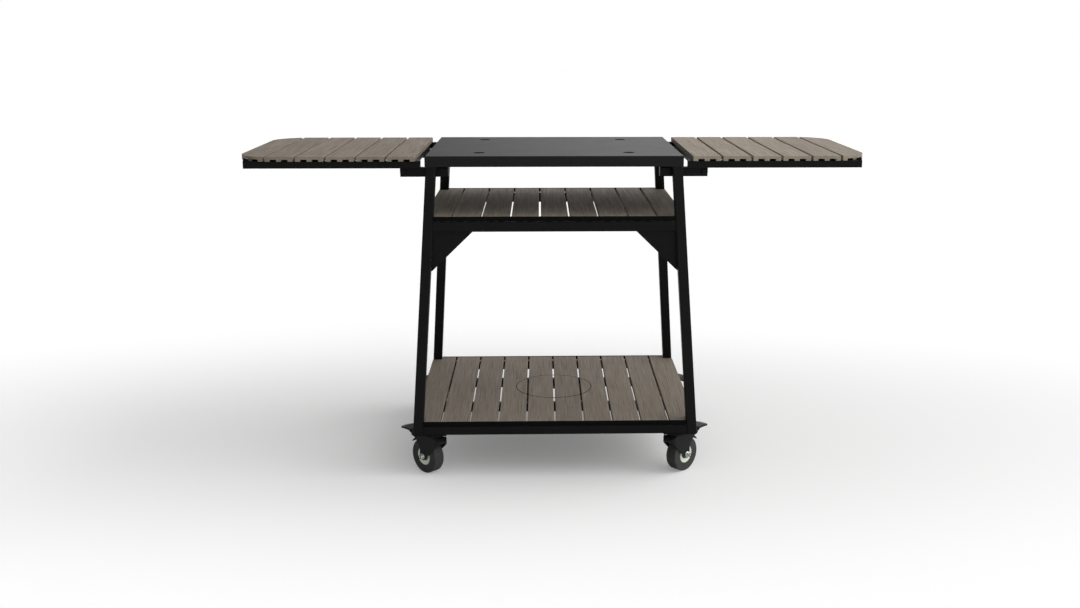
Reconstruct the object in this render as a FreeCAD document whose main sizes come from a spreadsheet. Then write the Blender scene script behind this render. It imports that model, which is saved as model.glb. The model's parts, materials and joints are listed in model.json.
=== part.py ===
"""Outdoor pizza oven table: a splayed steel frame on four braked casters, with two drop leaves.

Units are millimetres. X runs along the length, Y from front to rear, Z up from the floor, and the
origin lies on the floor under the middle of the table. Most pieces are modelled in the rear right
quarter, where X and Y are positive, and mirrored into the other quarters.
"""
import FreeCAD, Part
import math
import os
import re

import Sketcher

# Edges are picked out by place to within this distance
CLOSE = 0.5

# An outline starts as an even polygon of this radius, before formulas move its corners
FIRST_RADIUS = 9

doc = FreeCAD.newDocument("OutdoorOvenTable")
sheet = doc.addObject("Spreadsheet::Sheet", "Sizes")
nodes = []


# Driving dimensions
sizes = {
    # Table top: a folded steel pan with marks for the oven's feet
    "worktop_height": 900,
    "top_width": 702,
    "top_depth": 555,
    "top_sheet": 2,
    "top_apron": 29,
    "top_fold_radius": 3,
    "foot_mark_size": 32,
    "foot_mark_depth": 0.8,
    "foot_mark_spacing_x": 416,
    "foot_mark_spacing_y": 374,

    # Legs and frame tubes
    "leg_size": 28,
    "leg_wall": 2,
    "leg_corner": 3,
    "base_width": 800,
    "base_depth": 662,
    "frame_tube": 25,
    "mid_tube": 28,
    "frame_wall": 1.5,
    "tube_corner": 2.5,
    "mid_shelf_height": 736,

    # Gaps: between pieces that move or lie loosely, between pieces that are welded, round the pins in
    # what turns on them and in what holds them, at the notches, and how far cuts run past a solid
    "fit_gap": 0.3,
    "weld_gap": 0.2,
    "running_gap": 0.05,
    "bearing_gap": 0.1,
    "cut_margin": 1,
    "notch_gap": 0.8,

    # Shelf boards and the flat bars that hide their ends
    "slat_width": 75,
    "slat_thickness": 13,
    "slat_rib_height": 5.5,
    "slat_rib_width": 13,
    "slat_edge": 1,
    "slat_least_gap": 5,
    "shelf_side_inset": 0.5,
    "strip_thickness": 3,
    "strip_seam": 1,

    # Gussets under the middle shelf
    "gusset_reach": 109,
    "gusset_drop": 111,
    "gusset_plate": 3,
    "gusset_tip": 2,

    # Drop leaves and the arms that carry them
    "leaf_gap": 26,
    "leaf_length": 484,
    "leaf_depth": 553,
    "leaf_drop": 1,
    "leaf_corner": 100,
    "leaf_tube": 20,
    "leaf_wall": 1.5,
    "leaf_rail_inset": 10.5,
    "leaf_rail_lead": 13,
    "leaf_rail_setback": 20.5,
    "leaf_cross_inset": 5,
    "end_cap": 1.5,
    "arm_tube": 25,
    "arm_gap": 0.5,
    "arm_length": 131,
    "arm_reach": 69.5,
    "pivot_setback": 8,
    "ear_plate": 3,
    "ear_width": 16,
    "bolt_size": 8,
    "bolt_head_size": 14,
    "bolt_head_height": 5,

    # Lift-out disc in the bottom shelf
    "disc_cut_size": 232,
    "disc_gap": 2.2,
    "disc_seat": 7,
    "cleat_width": 24,
    "cleat_thickness": 12,
    "cleat_inset": 4,
    "strap_width": 18,
    "strap_shift": 68,
    "strap_thickness": 3,

    # Casters, laid out along X from the swivel axis before they are turned into place
    "caster_height": 124.5,
    "caster_inset_x": 55,
    "caster_inset_y": 29,
    "caster_turn": -44,
    "caster_plate": 3,
    "caster_plate_x": 92,
    "caster_plate_y": 67,
    "caster_plate_inset": 1.5,
    "plate_bolt_size": 13,
    "plate_bolt_height": 3,
    "race_size": 56,
    "race_bevel": 2,

    # Wheels
    "wheel_size": 100,
    "wheel_width": 33,
    "wheel_trail": 26,
    "tyre_thickness": 24,
    "tyre_shoulder": 3,
    "hub_inset": 1,
    "hub_dish": 2.5,
    "core_size": 28,
    "core_cap_size": 19,
    "axle_size": 8,
    "axle_nut_size": 13,
    "axle_nut_height": 6,
    "axle_dome_size": 10,
    "axle_dome_height": 4,

    # Forks: a crown with a hood in front, a leg each side of the wheel, and ears for the pedal
    "fork_plate": 3,
    "fork_gap": 1.5,
    "fork_end_size": 22,
    "fork_leg_rise": 28,
    "fork_nose": 42,
    "fork_nose_round": 16,
    "fork_nose_lip": 5,
    "hood_length": 18,
    "hood_drop": 9,
    "crown_gap": 12,
    "ear_margin": 5,
    "ear_drop": 9.5,

    # Brake pedals, each with a shoe that bends round behind the tyre
    "pedal_pivot_x": 62,
    "pedal_pivot_drop": 12,
    "pedal_pin_size": 6,
    "pedal_barrel_size": 11,
    "pedal_headroom": 1.5,
    "pedal_neck": 16,
    "pedal_reach": 130,
    "pedal_width": 40,
    "pedal_thickness": 5.5,
    "pedal_toe": 22,
    "pedal_toe_drop": 6,
    "shoe_gap": 6.5,
    "shoe_thickness": 2.5,
    "shoe_back": 10,
    "shoe_depth": 24.5,
}

# Heights and faces that follow from the driving dimensions
formulas = {
    "apron_base": "=worktop_height - top_apron",
    "leg_head_x": "=top_width / 2 - top_sheet - fit_gap",
    "leg_head_y": "=top_depth / 2 - top_sheet - fit_gap",
    "leg_slope_x": "=(base_width / 2 - leg_head_x) / (apron_base - caster_height)",
    "leg_slope_y": "=(base_depth / 2 - leg_head_y) / (apron_base - caster_height)",
    "leg_top": "=worktop_height - top_sheet - fit_gap",
    "mid_deck": "=mid_shelf_height - slat_thickness",
    "mid_base": "=mid_deck - mid_tube",
    "base_deck": "=caster_height + frame_tube",
    "leaf_top": "=worktop_height - leaf_drop",
    "leaf_deck": "=leaf_top - slat_thickness",
    "leaf_base": "=leaf_deck - leaf_tube",
    "leaf_start": "=top_width / 2 + leaf_gap",
    "leaf_end": "=leaf_start + leaf_length",
    "leaf_rail_face": "=leaf_depth / 2 - leaf_rail_inset",
    "leaf_rail_inside": "=leaf_rail_face - leaf_tube",
    "arm_top": "=leaf_base - arm_gap",
    "arm_end": "=top_width / 2 + arm_reach",
    "arm_face": "=leaf_rail_inside - fit_gap",
    "pivot_x": "=arm_end - pivot_setback",
    "pivot_z": "=arm_top - arm_tube / 2",
    "ear_face": "=leaf_rail_inside + fit_gap",
    "disc_radius": "=disc_cut_size / 2 - disc_gap",
    "disc_deck": "=base_deck + fit_gap",
    "swivel_x": "=base_width / 2 - caster_inset_x",
    "swivel_y": "=base_depth / 2 - caster_inset_y",
    "plate_base": "=caster_height - caster_plate",
    "wheel_radius": "=wheel_size / 2",
    "rim_radius": "=wheel_radius - tyre_thickness",
    "fork_inside": "=wheel_width / 2 + fork_gap",
    "fork_outside": "=fork_inside + fork_plate",
    "crown_base": "=wheel_size + crown_gap",
    "crown_top": "=crown_base + fork_plate",
    "core_radius": "=core_size / 2",
    "pedal_pivot_z": "=plate_base - pedal_pivot_drop",
    "pedal_top": "=plate_base - pedal_headroom",
    "pedal_side": "=fork_inside - fit_gap",
    "ear_back": "=pedal_pivot_x + pedal_barrel_size / 2 + ear_margin",
    "hood_slope": "=hood_drop / hood_length",
    "room_nose": "=fork_nose - fork_plate",
}

for row, (alias, content) in enumerate({**sizes, **formulas}.items(), 1):
    sheet.set(f"A{row}", alias)
    sheet.set(f"B{row}", str(content))
    sheet.setAlias(f"B{row}", alias)


def bind(item, prop, formula):
    """Tie a property to a formula over the names in the sheet."""
    named = re.sub(r"[a-z][a-z0-9_]*", lambda word: reference(word.group()), str(formula))
    item.setExpression(prop, named)


def reference(word):
    """Write a size's name as a reference to its cell, and leave functions as they are."""
    return "Sizes." + word if word in sizes or word in formulas else word


def origin_item(body, role):
    """Find one of a body's own origin planes or axes."""
    return next(item for item in body.Origin.OriginFeatures if item.Role == role)


def new_sketch(body, name, plane, shift):
    """Put a sketch on one of the body's origin planes, moved by three formulas."""
    sketch = body.newObject("Sketcher::SketchObject", name)
    sketch.AttachmentSupport = (origin_item(body, plane + "_Plane"), [""])
    sketch.MapMode = "FlatFace"
    for axis, formula in zip("xyz", shift):
        bind(sketch, "AttachmentOffset.Base." + axis, formula)
    return sketch


def draw_outline(sketch, corners):
    """Draw a closed outline whose corners are pairs of formulas."""
    count = len(corners)
    spoke = FreeCAD.Vector(FIRST_RADIUS, 0, 0)
    upward = FreeCAD.Vector(0, 0, 1)
    rough = [FreeCAD.Rotation(upward, 360 / count * i).multVec(spoke) for i in range(count)]
    first = sketch.GeometryCount
    for i in range(count):
        sketch.addGeometry(Part.LineSegment(rough[i], rough[(i + 1) % count]))
    for i in range(count):
        joined = Sketcher.Constraint("Coincident", first + i, 2, first + (i + 1) % count, 1)
        sketch.addConstraint(joined)
    for i, corner in enumerate(corners):
        for kind, place, formula in zip(("DistanceX", "DistanceY"), rough[i], corner):
            index = sketch.addConstraint(Sketcher.Constraint(kind, -1, 1, first + i, 1, place))
            name = f"corner_{first + i}_{kind[-1].lower()}"
            sketch.renameConstraint(index, name)
            bind(sketch, "Constraints." + name, formula)


def prism(name, plane, shift, length, corners):
    """Pad an outline. On XZ the pad runs towards -Y, on YZ towards +X and on XY towards +Z."""
    body = doc.addObject("PartDesign::Body", name)
    sketch = new_sketch(body, name + "_outline", plane, shift)
    draw_outline(sketch, corners)
    pad = body.newObject("PartDesign::Pad", name + "_pad")
    pad.Profile = sketch
    bind(pad, "Length", length)
    return body


def turned(name, plane, shift, axis, corners):
    """Revolve an outline about an axis of its own sketch."""
    body = doc.addObject("PartDesign::Body", name)
    sketch = new_sketch(body, name + "_outline", plane, shift)
    draw_outline(sketch, corners)
    revolution = body.newObject("PartDesign::Revolution", name + "_turning")
    revolution.Profile = sketch
    revolution.ReferenceAxis = (sketch, [axis])
    revolution.Angle = 360
    return body


def block(name, x, y, z):
    """A block between two limits along each axis."""
    item = doc.addObject("Part::Box", name)
    for prop, axis, (low, high) in zip(("Length", "Width", "Height"), "xyz", (x, y, z)):
        bind(item, prop, f"({high}) - ({low})")
        bind(item, "Placement.Base." + axis, low)
    return item


def rod(name, axis, radius, centre, length):
    """A cylinder that starts at the centre and runs along +X, -Y or +Z."""
    item = doc.addObject("Part::Cylinder", name)
    turns = {"x": ((0, 1, 0), 90), "y": ((1, 0, 0), 90), "z": ((0, 0, 1), 0)}
    direction, angle = turns[axis]
    item.Placement.Rotation = FreeCAD.Rotation(FreeCAD.Vector(*direction), angle)
    bind(item, "Radius", radius)
    bind(item, "Height", length)
    for letter, formula in zip("xyz", centre):
        bind(item, "Placement.Base." + letter, formula)
    return item


def hexagon(name, across, centre, length):
    """A hexagonal bolt head or nut that starts at the centre and runs towards -Y."""
    item = doc.addObject("Part::Prism", name)
    item.Polygon = 6
    item.Placement.Rotation = FreeCAD.Rotation(FreeCAD.Vector(1, 0, 0), 90)
    bind(item, "Circumradius", f"{across} / sqrt(3)")
    bind(item, "Height", length)
    for letter, formula in zip("xyz", centre):
        bind(item, "Placement.Base." + letter, formula)
    return item


def cut(name, base, tools):
    """Take each tool away from the base."""
    for number, tool in enumerate(tools, 1):
        result = doc.addObject("Part::Cut", name if number == len(tools) else f"{name}_cut_{number}")
        result.Base = base
        result.Tool = tool
        base = result
    return base


def common(name, base, tool):
    """Keep what two solids share."""
    result = doc.addObject("Part::Common", name)
    result.Base = base
    result.Tool = tool
    return result


def fuse(name, pieces):
    """Join pieces that are welded or moulded as one."""
    result = doc.addObject("Part::MultiFuse", name)
    result.Shapes = pieces
    result.Refine = True
    return result


def group(name, pieces):
    """Keep separate solids together as one sub-part."""
    result = doc.addObject("Part::Compound", name)
    result.Links = pieces
    return result


def mirrored(name, source, axis):
    """Mirror a piece to the other side, left to right along x or rear to front along y."""
    twin = doc.addObject("Part::Mirroring", name)
    twin.Source = source
    twin.Normal = FreeCAD.Vector(axis == "x", axis == "y", 0)
    return twin


def node(label, item):
    """Record a finished sub-part under the name of its file."""
    item.Label = label
    nodes.append(item)
    return item


def both_sides(label, right):
    """Make the right-hand sub-part and its mirror image on the left."""
    node(label + "_right", right)
    node(label + "_left", mirrored(label + "_mirror", right, "x"))


def at_corners(name, rear_right):
    """Mirror a rear right piece into the other three quarters."""
    front_right = mirrored(name + "_fr", rear_right, "y")
    rear_left = mirrored(name + "_rl", rear_right, "x")
    front_left = mirrored(name + "_fl", front_right, "x")
    corners = ("rear_right", "front_right", "rear_left", "front_left")
    return dict(zip(corners, (rear_right, front_right, rear_left, front_left)))


def four_nodes(label, rear_right):
    """Make one sub-part in each quarter."""
    for corner, piece in at_corners(label, rear_right).items():
        node(f"{label}_{corner}", piece)


def round_edges(body, radius, wanted):
    """Round those edges of a body that the test picks out."""
    doc.recompute()
    base = body.Tip
    picked = [f"Edge{i}" for i, edge in enumerate(base.Shape.Edges, 1) if wanted(edge)]
    fillet = body.newObject("PartDesign::Fillet", body.Name + "_rounding")
    fillet.Base = (base, picked)
    bind(fillet, "Radius", radius)
    body.Tip = fillet


def runs_along(*direction):
    """Make a test for straight edges that run along a direction."""
    aim = FreeCAD.Vector(*direction)

    def test(edge):
        straight = edge.Curve.TypeId == "Part::GeomLine"
        return straight and abs(edge.tangentAt(edge.FirstParameter).dot(aim)) > 0.99

    return test


def upright_beyond(alias, side=1):
    """Make a test for upright edges that lie at a size along X, or at its opposite on side -1."""
    doc.recompute()
    limit = value(alias) - CLOSE
    upright = runs_along(0, 0, 1)
    return lambda edge: upright(edge) and side * edge.CenterOfMass.x > limit


def value(alias):
    """Read a size as a number."""
    return float(sheet.get(alias))


def leg_x(height):
    """Formula of the outer side face of a leg at a height."""
    return f"(leg_head_x + leg_slope_x * (apron_base - ({height})))"


def leg_y(height):
    """Formula of the outer front or rear face of a leg at a height."""
    return f"(leg_head_y + leg_slope_y * (apron_base - ({height})))"


def tube_x(name, low, high, y, z, wall):
    """A rounded tube along X. Its ends slant between their limits at the bottom and at the top."""
    outline = [(low[0], z[0]), (low[1], z[0]), (high[1], z[1]), (high[0], z[1])]
    body = prism(name + "_body", "XZ", (0, 0, f"-({y[1]})"), f"({y[1]}) - ({y[0]})", outline)
    round_edges(body, "tube_corner", runs_along(1, 0, 0))
    x = (f"({low[0]}) - frame_tube", f"({low[1]}) + frame_tube")
    inside_y = (f"({y[0]}) + {wall}", f"({y[1]}) - {wall}")
    inside_z = (f"({z[0]}) + {wall}", f"({z[1]}) - {wall}")
    return cut(name, body, [block(name + "_bore", x, inside_y, inside_z)])


def tube_y(name, low, high, x, z, wall):
    """A rounded tube along Y. Its ends slant between their limits at the bottom and at the top."""
    outline = [(low[0], z[0]), (low[1], z[0]), (high[1], z[1]), (high[0], z[1])]
    body = prism(name + "_body", "YZ", (0, 0, x[0]), f"({x[1]}) - ({x[0]})", outline)
    round_edges(body, "tube_corner", runs_along(0, 1, 0))
    y = (f"({low[0]}) - frame_tube", f"({low[1]}) + frame_tube")
    inside_x = (f"({x[0]}) + {wall}", f"({x[1]}) - {wall}")
    inside_z = (f"({z[0]}) + {wall}", f"({z[1]}) - {wall}")
    return cut(name, body, [block(name + "_bore", inside_x, y, inside_z)])


def make_table_top():
    """The pan: a sheet folded down on four sides, with four shallow marks for the oven's feet."""
    half_x = "top_width / 2"
    half_y = "top_depth / 2"
    corners = [(f"-{half_x}", f"-{half_y}"), (half_x, f"-{half_y}"), (half_x, half_y), (f"-{half_x}", half_y)]
    body = prism("pan_body", "XY", (0, 0, "apron_base"), "top_apron", corners)
    upper = value("worktop_height")
    round_edges(body, "top_fold_radius", lambda edge: edge.BoundBox.ZMax > upper - CLOSE)
    inside_x = (f"top_sheet - {half_x}", f"{half_x} - top_sheet")
    inside_y = (f"top_sheet - {half_y}", f"{half_y} - top_sheet")
    inside_z = ("apron_base - cut_margin", "worktop_height - top_sheet")
    inside = block("pan_inside", inside_x, inside_y, inside_z)
    place = ("foot_mark_spacing_x / 2", "foot_mark_spacing_y / 2", "worktop_height - foot_mark_depth")
    mark = rod("foot_mark", "z", "foot_mark_size / 2", place, "foot_mark_depth + cut_margin")
    marks = at_corners("foot_mark", mark)
    node("table_top", cut("pan", body, [inside, *marks.values()]))


def draw_rounded_square(sketch, half, radius):
    """Draw a rounded square about the sketch's origin, half as wide as one formula says."""
    reach = value("leg_size") / 2
    bend = value("leg_corner")
    quarter = math.pi / 2
    for i in range(4):
        spin = FreeCAD.Rotation(FreeCAD.Vector(0, 0, 1), 90 * i)
        start = spin.multVec(FreeCAD.Vector(bend - reach, -reach, 0))
        end = spin.multVec(FreeCAD.Vector(reach - bend, -reach, 0))
        centre = spin.multVec(FreeCAD.Vector(reach - bend, bend - reach, 0))
        sketch.addGeometry(Part.LineSegment(start, end))
        circle = Part.Circle(centre, FreeCAD.Vector(0, 0, 1), bend)
        sketch.addGeometry(Part.ArcOfCircle(circle, quarter * (i - 1), quarter * i))
    for i in range(4):
        side = 2 * i
        sketch.addConstraint(Sketcher.Constraint("Coincident", side, 2, side + 1, 1))
        sketch.addConstraint(Sketcher.Constraint("Coincident", side + 1, 2, (side + 2) % 8, 1))
        index = sketch.addConstraint(Sketcher.Constraint("Radius", side + 1, bend))
        sketch.renameConstraint(index, f"bend_{i}")
        bind(sketch, f"Constraints.bend_{i}", radius)
    inner = f"({half} - {radius})"
    ends = [
        ((f"-{inner}", f"-{half}"), (inner, f"-{half}")),
        ((half, f"-{inner}"), (half, inner)),
        ((inner, half), (f"-{inner}", half)),
        ((f"-{half}", inner), (f"-{half}", f"-{inner}")),
    ]
    for i, side in enumerate(ends):
        for point, corner in enumerate(side, 1):
            place = sketch.getPoint(2 * i, point)
            for kind, distance, formula in zip(("DistanceX", "DistanceY"), place, corner):
                index = sketch.addConstraint(Sketcher.Constraint(kind, -1, 1, 2 * i, point, distance))
                name = f"end_{i}_{point}_{kind[-1].lower()}"
                sketch.renameConstraint(index, name)
                bind(sketch, "Constraints." + name, formula)


def leg_section(body, name, height, inset):
    """A section of the leg at a height: rounded outside, or square inside the wall."""
    shift = (f"{leg_x(height)} - leg_size / 2", f"{leg_y(height)} - leg_size / 2", height)
    sketch = new_sketch(body, name, "XY", shift)
    if inset:
        half = f"(leg_size / 2 - {inset})"
        corners = [(f"-{half}", f"-{half}"), (half, f"-{half}"), (half, half), (f"-{half}", half)]
        draw_outline(sketch, corners)
    else:
        draw_rounded_square(sketch, "leg_size / 2", "leg_corner")
    return sketch


def make_legs():
    """The legs: square tubes that lean outwards both ways, level at both ends."""
    body = doc.addObject("PartDesign::Body", "leg")
    loft = body.newObject("PartDesign::AdditiveLoft", "leg_loft")
    loft.Profile = leg_section(body, "leg_foot_section", "caster_height", None)
    loft.Sections = [leg_section(body, "leg_head_section", "leg_top", None)]
    loft.Ruled = True
    bore = body.newObject("PartDesign::SubtractiveLoft", "leg_bore")
    bore.Profile = leg_section(body, "bore_foot_section", "caster_height - cut_margin", "leg_wall")
    bore.Sections = [leg_section(body, "bore_head_section", "leg_top + cut_margin", "leg_wall")]
    bore.Ruled = True
    body.Tip = bore
    four_nodes("leg", body)


def make_top_side_rails():
    """Tubes inside the pan that tie the legs together and carry the arms of the leaves."""
    low = f"({leg_y('arm_top')} - leg_size - weld_gap)"
    high = f"({leg_y('arm_top + frame_tube')} - leg_size - weld_gap)"
    x = ("leg_head_x - frame_tube", "leg_head_x")
    z = ("arm_top + weld_gap", "arm_top + weld_gap + frame_tube")
    rail = tube_y("top_side_rail", (f"-{low}", low), (f"-{high}", high), x, z, "frame_wall")
    both_sides("top_side_rail", rail)


def slat_outline():
    """Section of a board: a plate with ribs along both edges and the middle."""
    middle = "(slat_width - slat_rib_width) / 2"
    return [
        (0, 0),
        ("slat_rib_width", 0),
        ("slat_rib_width", "slat_rib_height"),
        (middle, "slat_rib_height"),
        (middle, 0),
        (f"{middle} + slat_rib_width", 0),
        (f"{middle} + slat_rib_width", "slat_rib_height"),
        ("slat_width - slat_rib_width", "slat_rib_height"),
        ("slat_width - slat_rib_width", 0),
        ("slat_width", 0),
        ("slat_width", "slat_thickness - slat_edge"),
        ("slat_width - slat_edge", "slat_thickness"),
        ("slat_edge", "slat_thickness"),
        (0, "slat_thickness - slat_edge"),
    ]


def slat(name, start, deck, half_length):
    """One board along Y from its left edge."""
    return prism(name, "XZ", (start, deck, f"-({half_length})"), f"2 * ({half_length})", slat_outline())


def slat_row(name, start, deck, half_length, pitch, count):
    """A row of boards at an even pitch."""
    body = slat(name, start, deck, half_length)
    body.AllowCompound = True
    pad = body.Tip
    row = body.newObject("PartDesign::LinearPattern", name + "_row")
    row.Originals = [pad]
    row.Direction = (origin_item(body, "X_Axis"), [""])
    bind(row, "Length", f"({pitch}) * (({count}) - 1)")
    bind(row, "Occurrences", count)
    body.Tip = row
    return body


def boards_across(span):
    """Formula of the number of boards that fit across a span."""
    return f"floor((({span}) + slat_least_gap) / (slat_width + slat_least_gap))"


def make_shelf(label, base, deck):
    """One shelf: four rails between the legs, flat bars at the board ends, and the end boards.

    Returns the formulas of the first board's edge, the pitch, the count and half the board's length.
    """
    middle = f"(({base} + {deck}) / 2)"
    top = f"({deck} + slat_thickness)"
    face_x = leg_x(middle)
    face_y = leg_y(middle)
    z = (base, deck)

    low = f"({leg_x(base)} - leg_size - weld_gap)"
    high = f"({leg_x(deck)} - leg_size - weld_gap)"
    y = (f"{face_y} - frame_tube", face_y)
    rear = tube_x(label + "_rail_rear", (f"-{low}", low), (f"-{high}", high), y, z, "frame_wall")
    node(f"{label}_rail_rear", rear)
    node(f"{label}_rail_front", mirrored(label + "_rail_front", rear, "y"))

    low = f"({leg_y(base)} - leg_size - weld_gap)"
    high = f"({leg_y(deck)} - leg_size - weld_gap)"
    x = (f"{face_x} - frame_tube", face_x)
    side = tube_y(label + "_rail", (f"-{low}", low), (f"-{high}", high), x, z, "frame_wall")
    both_sides(f"{label}_rail", side)

    reach = f"({leg_x(top)} - leg_size - weld_gap)"
    y = (f"{face_y} - strip_thickness", face_y)
    z = (f"{deck} + strip_seam", f"{top} + strip_seam")
    strip = block(label + "_strip", (f"-{reach}", reach), y, z)
    strips = group(label + "_strips", [strip, mirrored(label + "_strip_front", strip, "y")])
    node(f"{label}_edge_strips", strips)

    half_span = f"({face_x} - shelf_side_inset)"
    half_length = f"({face_y} - strip_thickness - fit_gap)"
    count = boards_across(f"2 * {half_span}")
    pitch = f"((2 * {half_span} - slat_width) / ({count} - 1))"
    last = slat(label + "_last_slat", f"{half_span} - slat_width", deck, half_length)
    corner_x = f"{leg_x(top)} - leg_size - notch_gap"
    corner_y = f"{leg_y(top)} - leg_size - notch_gap"
    z = (f"{deck} - cut_margin", f"{top} + cut_margin")
    beyond = (f"{half_span} + cut_margin", f"{half_length} + cut_margin")
    notch = block(label + "_notch", (corner_x, beyond[0]), (corner_y, beyond[1]), z)
    notches = [notch, mirrored(label + "_notch_front", notch, "y")]
    both_sides(f"{label}_end_slat", cut(label + "_end_slat", last, notches))
    return f"{pitch} - {half_span}", pitch, f"({count} - 2)", half_length


def make_mid_shelf():
    """The middle shelf and its plain boards."""
    start, pitch, count, half_length = make_shelf("mid", "mid_base", "mid_deck")
    node("mid_slats", slat_row("mid_slat_row", start, "mid_deck", half_length, pitch, count))


def make_bottom_shelf():
    """The bottom shelf, its cross rails, and the disc cut free from its boards."""
    start, pitch, count, half_length = make_shelf("bottom", "caster_height", "base_deck")
    middle = "(caster_height + frame_tube / 2)"
    reach = f"({leg_x(middle)} - frame_tube - weld_gap)"
    y = ("disc_radius - disc_seat", "disc_radius - disc_seat + frame_tube")
    ends = (f"-{reach}", reach)
    rear = tube_x("cross_rail", ends, ends, y, ("caster_height", "base_deck"), "frame_wall")
    node("bottom_cross_rail_rear", rear)
    node("bottom_cross_rail_front", mirrored("cross_rail_front", rear, "y"))

    boards = slat_row("bottom_slat_row", start, "base_deck", half_length, pitch, count)
    height = "slat_thickness + 2 * cut_margin"
    cutter = rod("disc_cutter", "z", "disc_cut_size / 2", (0, 0, "base_deck - cut_margin"), height)
    node("bottom_slats", cut("bottom_boards", boards, [cutter]))

    raised = slat_row("disc_slat_row", start, "disc_deck", half_length, pitch, count)
    keep = rod("disc_keep", "z", "disc_radius", (0, 0, "disc_deck - cut_margin"), height)
    node("disc_slats", common("disc_boards", raised, keep))

    x = (f"{pitch} - cleat_width / 2", f"{pitch} + cleat_width / 2")
    y = ("cleat_inset + disc_seat - disc_radius", "disc_radius - disc_seat - cleat_inset")
    bar = block("cleat_bar", x, y, ("disc_deck - cleat_thickness", "disc_deck"))
    reach = "disc_radius - cleat_inset"
    ends = rod("cleat_ends", "z", reach, (0, 0, "disc_deck - cleat_thickness"), "cleat_thickness")
    cleat = common("cleat", bar, ends)
    node("disc_cleats", group("cleats", [cleat, mirrored("cleat_left", cleat, "x")]))
    strap_top = "disc_deck - cleat_thickness"
    x = (f"-({pitch})", pitch)
    y = ("strap_shift - strap_width / 2", "strap_shift + strap_width / 2")
    z = (f"{strap_top} - strap_thickness", strap_top)
    node("disc_strap", block("strap", x, y, z))


def make_gussets():
    """Triangular plates in the corners between the legs and the front and rear middle rails."""
    def edge(height):
        return f"{leg_x(height)} - leg_size - weld_gap"

    top = "mid_base - weld_gap"
    tip = "mid_base - gusset_drop"
    outline = [
        (f"{edge(top)} - gusset_reach", top),
        (edge(top), top),
        (edge(tip), tip),
        (f"{edge(tip)} - gusset_tip", tip),
    ]
    centre = f"{leg_y('(mid_base + mid_deck) / 2')} - frame_tube / 2"
    plate = prism("gusset", "XZ", (0, 0, f"-({centre} + gusset_plate / 2)"), "gusset_plate", outline)
    node("gussets", group("gusset_set", list(at_corners("gusset", plate).values())))


def make_arms():
    """Arms under the side rails, closed at both ends, with a bolt for the leaf's pivot."""
    inner_end = "arm_end - arm_length"
    x = (f"{inner_end} + end_cap", "arm_end - end_cap")
    y = ("arm_face - arm_tube", "arm_face")
    z = ("arm_top - arm_tube", "arm_top")
    tube = tube_x("arm_tube_piece", x, x, y, z, "frame_wall")
    place = ("pivot_x", "arm_face + cut_margin", "pivot_z")
    hole = rod("arm_hole", "y", "bolt_size / 2 + bearing_gap", place, "arm_tube + 2 * cut_margin")
    arm = cut("arm", tube, [hole])
    outer_cap = block("arm_outer_cap", ("arm_end - end_cap", "arm_end"), y, z)
    inner_cap = block("arm_inner_cap", (inner_end, f"{inner_end} + end_cap"), y, z)
    piece = group("arm_set", [arm, outer_cap, inner_cap])
    node("support_arms", group("arms", list(at_corners("arm", piece).values())))

    head_start = "ear_face + ear_plate + fit_gap + bolt_head_height"
    nut_start = "arm_face - arm_tube - fit_gap"
    head_place = ("pivot_x", head_start, "pivot_z")
    head = hexagon("pivot_head", "bolt_head_size", head_place, "bolt_head_height")
    nut = hexagon("pivot_nut", "bolt_head_size", ("pivot_x", nut_start, "pivot_z"), "bolt_head_height")
    shank_length = f"({head_start}) - ({nut_start}) + bolt_head_height"
    shank = rod("pivot_shank", "y", "bolt_size / 2", head_place, shank_length)
    bolt = fuse("pivot_bolt", [shank, head, nut])
    node("pivot_bolts", group("pivot_bolt_set", list(at_corners("pivot_bolt", bolt).values())))


def make_leaves():
    """The leaves: boards on a frame of thin tubes, with ears that turn on the arms' bolts."""
    start = "leaf_start - leaf_rail_lead"
    end = "leaf_end - leaf_rail_setback"
    z = ("leaf_base", "leaf_deck")
    y = ("leaf_rail_inside", "leaf_rail_face")
    x = (f"{start} + end_cap", f"{end} - end_cap")
    rail = tube_x("leaf_rail", x, x, y, z, "leaf_wall")
    inner_cap = block("leaf_inner_cap", (start, f"{start} + end_cap"), y, z)
    outer_cap = block("leaf_outer_cap", (f"{end} - end_cap", end), y, z)
    rear = group("leaf_rear_side", [rail, inner_cap, outer_cap, leaf_ear()])
    front = mirrored("leaf_front_side", rear, "y")
    ends = ("weld_gap - leaf_rail_inside", "leaf_rail_inside - weld_gap")
    x = ("leaf_start + leaf_cross_inset", "leaf_start + leaf_cross_inset + leaf_tube")
    inner = tube_y("leaf_inner_cross", ends, ends, x, z, "leaf_wall")
    outer = tube_y("leaf_outer_cross", ends, ends, (f"{end} - leaf_tube", end), z, "leaf_wall")
    both_sides("leaf_frame", group("leaf_frame", [rear, front, inner, outer]))

    half_length = "leaf_depth / 2"
    count = boards_across("leaf_length")
    pitch = f"((leaf_length - slat_width) / ({count} - 1))"
    near = "leaf_start - cut_margin"
    corners = [
        (near, f"-{half_length}"),
        ("leaf_end", f"-{half_length}"),
        ("leaf_end", half_length),
        (near, half_length),
    ]
    height = "slat_thickness + 2 * cut_margin"
    plan = prism("leaf_corner_plan", "XY", (0, 0, "leaf_deck - cut_margin"), height, corners)
    round_edges(plan, "leaf_corner", upright_beyond("leaf_end"))
    row = slat_row("leaf_slat_row", "leaf_start", "leaf_deck", half_length, pitch, f"({count} - 1)")
    both_sides("leaf_slats", common("leaf_rounded_row", row, plan))
    last = slat("leaf_last_slat", "leaf_end - slat_width", "leaf_deck", half_length)
    both_sides("leaf_end_slat", common("leaf_rounded_slat", last, plan))


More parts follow.
